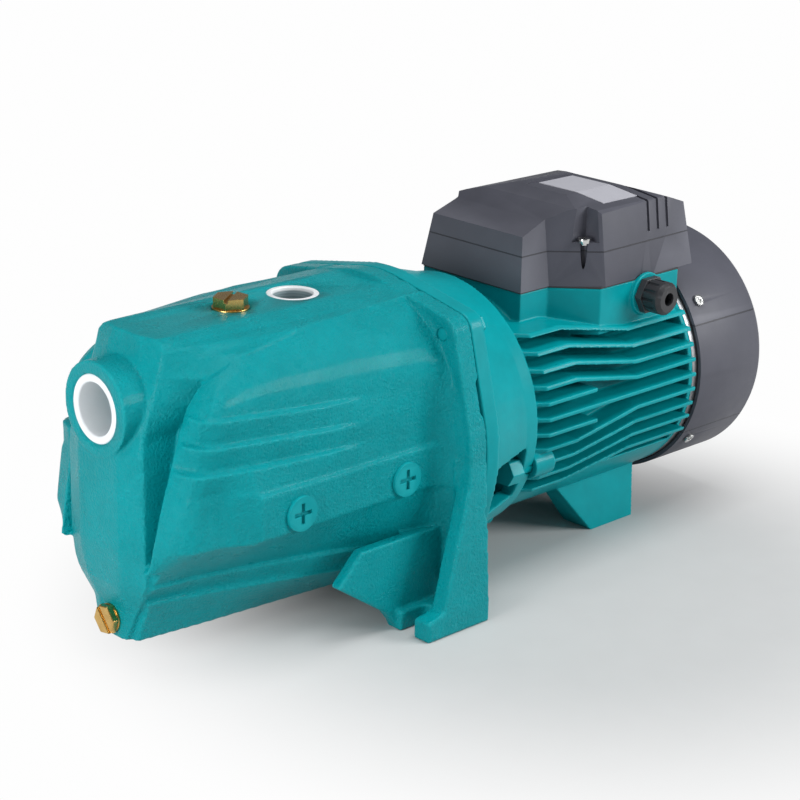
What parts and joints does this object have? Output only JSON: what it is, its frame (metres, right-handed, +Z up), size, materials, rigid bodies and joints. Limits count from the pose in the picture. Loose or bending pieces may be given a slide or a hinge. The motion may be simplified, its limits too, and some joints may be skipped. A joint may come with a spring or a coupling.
{
  "type": "shallow well jet pump",
  "caption": "Self-priming jet pump: ribbed cast pump casing with threaded ports on a finned electric motor with a terminal box, fan and feet.",
  "frame": {"origin": "middle of the pump's box at its base, on the floor under the shaft's axis", "axes": "+X along the shaft from the suction port to the fan, +Z up, Y = 0 the plane of the shaft and of both ports"},
  "size_m": [0.521, 0.216, 0.2415],
  "materials": {
    "aluminium": "die cast",
    "black_plastic": "fine-grained moulded plastic",
    "brass": "machined",
    "carbon": "lapped carbon",
    "ceramic": "ground ceramic",
    "copper": "varnished wire",
    "core_steel": "stacked laminations",
    "inner_plastic": "glass-filled plastic",
    "rubber": "moulded",
    "silver_label": "satin foil",
    "steel": "ground and turned",
    "teal_paint": "semi-gloss paint over cast iron and aluminium, slightly rough",
    "white_plastic": "smooth moulded plastic",
    "zinc": "bright zinc plating"
  },
  "bodies": {
    "pump": {"bearing_washer": "steel", "bracket_bolts": "teal_paint", "capacitor": "aluminium", "casing_seal": "rubber", "cover_screws": "zinc", "discharge_insert": "white_plastic", "ejector_nozzle": "brass", "fan_cover": "black_plastic", "fan_cover_screws": "zinc", "flange_bolts": "teal_paint", "front_bearing_outer_ring": "steel", "gland_body": "black_plastic", "gland_nut": "black_plastic", "gland_seal": "rubber", "guide_vane": "inner_plastic", "motor_bracket": "teal_paint", "motor_housing": "teal_paint", "nameplate": "silver_label", "pump_casing": "teal_paint", "rear_bearing_outer_ring": "steel", "rear_shield": "aluminium", "seal_cup": "rubber", "seal_seat": "ceramic", "shield_screws": "zinc", "side_plugs": "teal_paint", "stator_core": "core_steel", "stator_windings": "copper", "suction_insert": "white_plastic", "terminal_block": "inner_plastic", "terminal_cover": "black_plastic", "terminal_gasket": "rubber", "terminal_studs": "brass", "venturi_seal": "rubber", "venturi_tube": "inner_plastic"},
    "rotor": {"shaft": "steel", "rotor_core": "core_steel", "impeller": "brass", "impeller_key": "steel", "impeller_nut": "steel", "seal_ring": "carbon", "seal_spring": "steel", "slinger": "rubber", "front_bearing_inner_ring": "steel", "front_bearing_balls": "steel", "rear_bearing_inner_ring": "steel", "rear_bearing_balls": "steel", "fan": "inner_plastic", "fan_clip": "steel"},
    "filler_plug": {"filler_plug": "brass", "filler_washer": "brass"},
    "drain_plug": {"drain_plug": "brass", "drain_washer": "brass"}
  },
  "joints": [
    {"name": "rotor_spin", "type": "hinge", "parent": "pump", "child": "rotor", "pos_m": [0, 0, 0.106], "axis": [1, 0, 0], "continuous": true},
    {"name": "filler_unscrew", "type": "slide", "parent": "pump", "child": "filler_plug", "axis": [0, 0, 1], "range_m": [0, 0.03]},
    {"name": "drain_unscrew", "type": "slide", "parent": "pump", "child": "drain_plug", "axis": [-1, 0, 0], "range_m": [0, 0.03]}
  ]
}
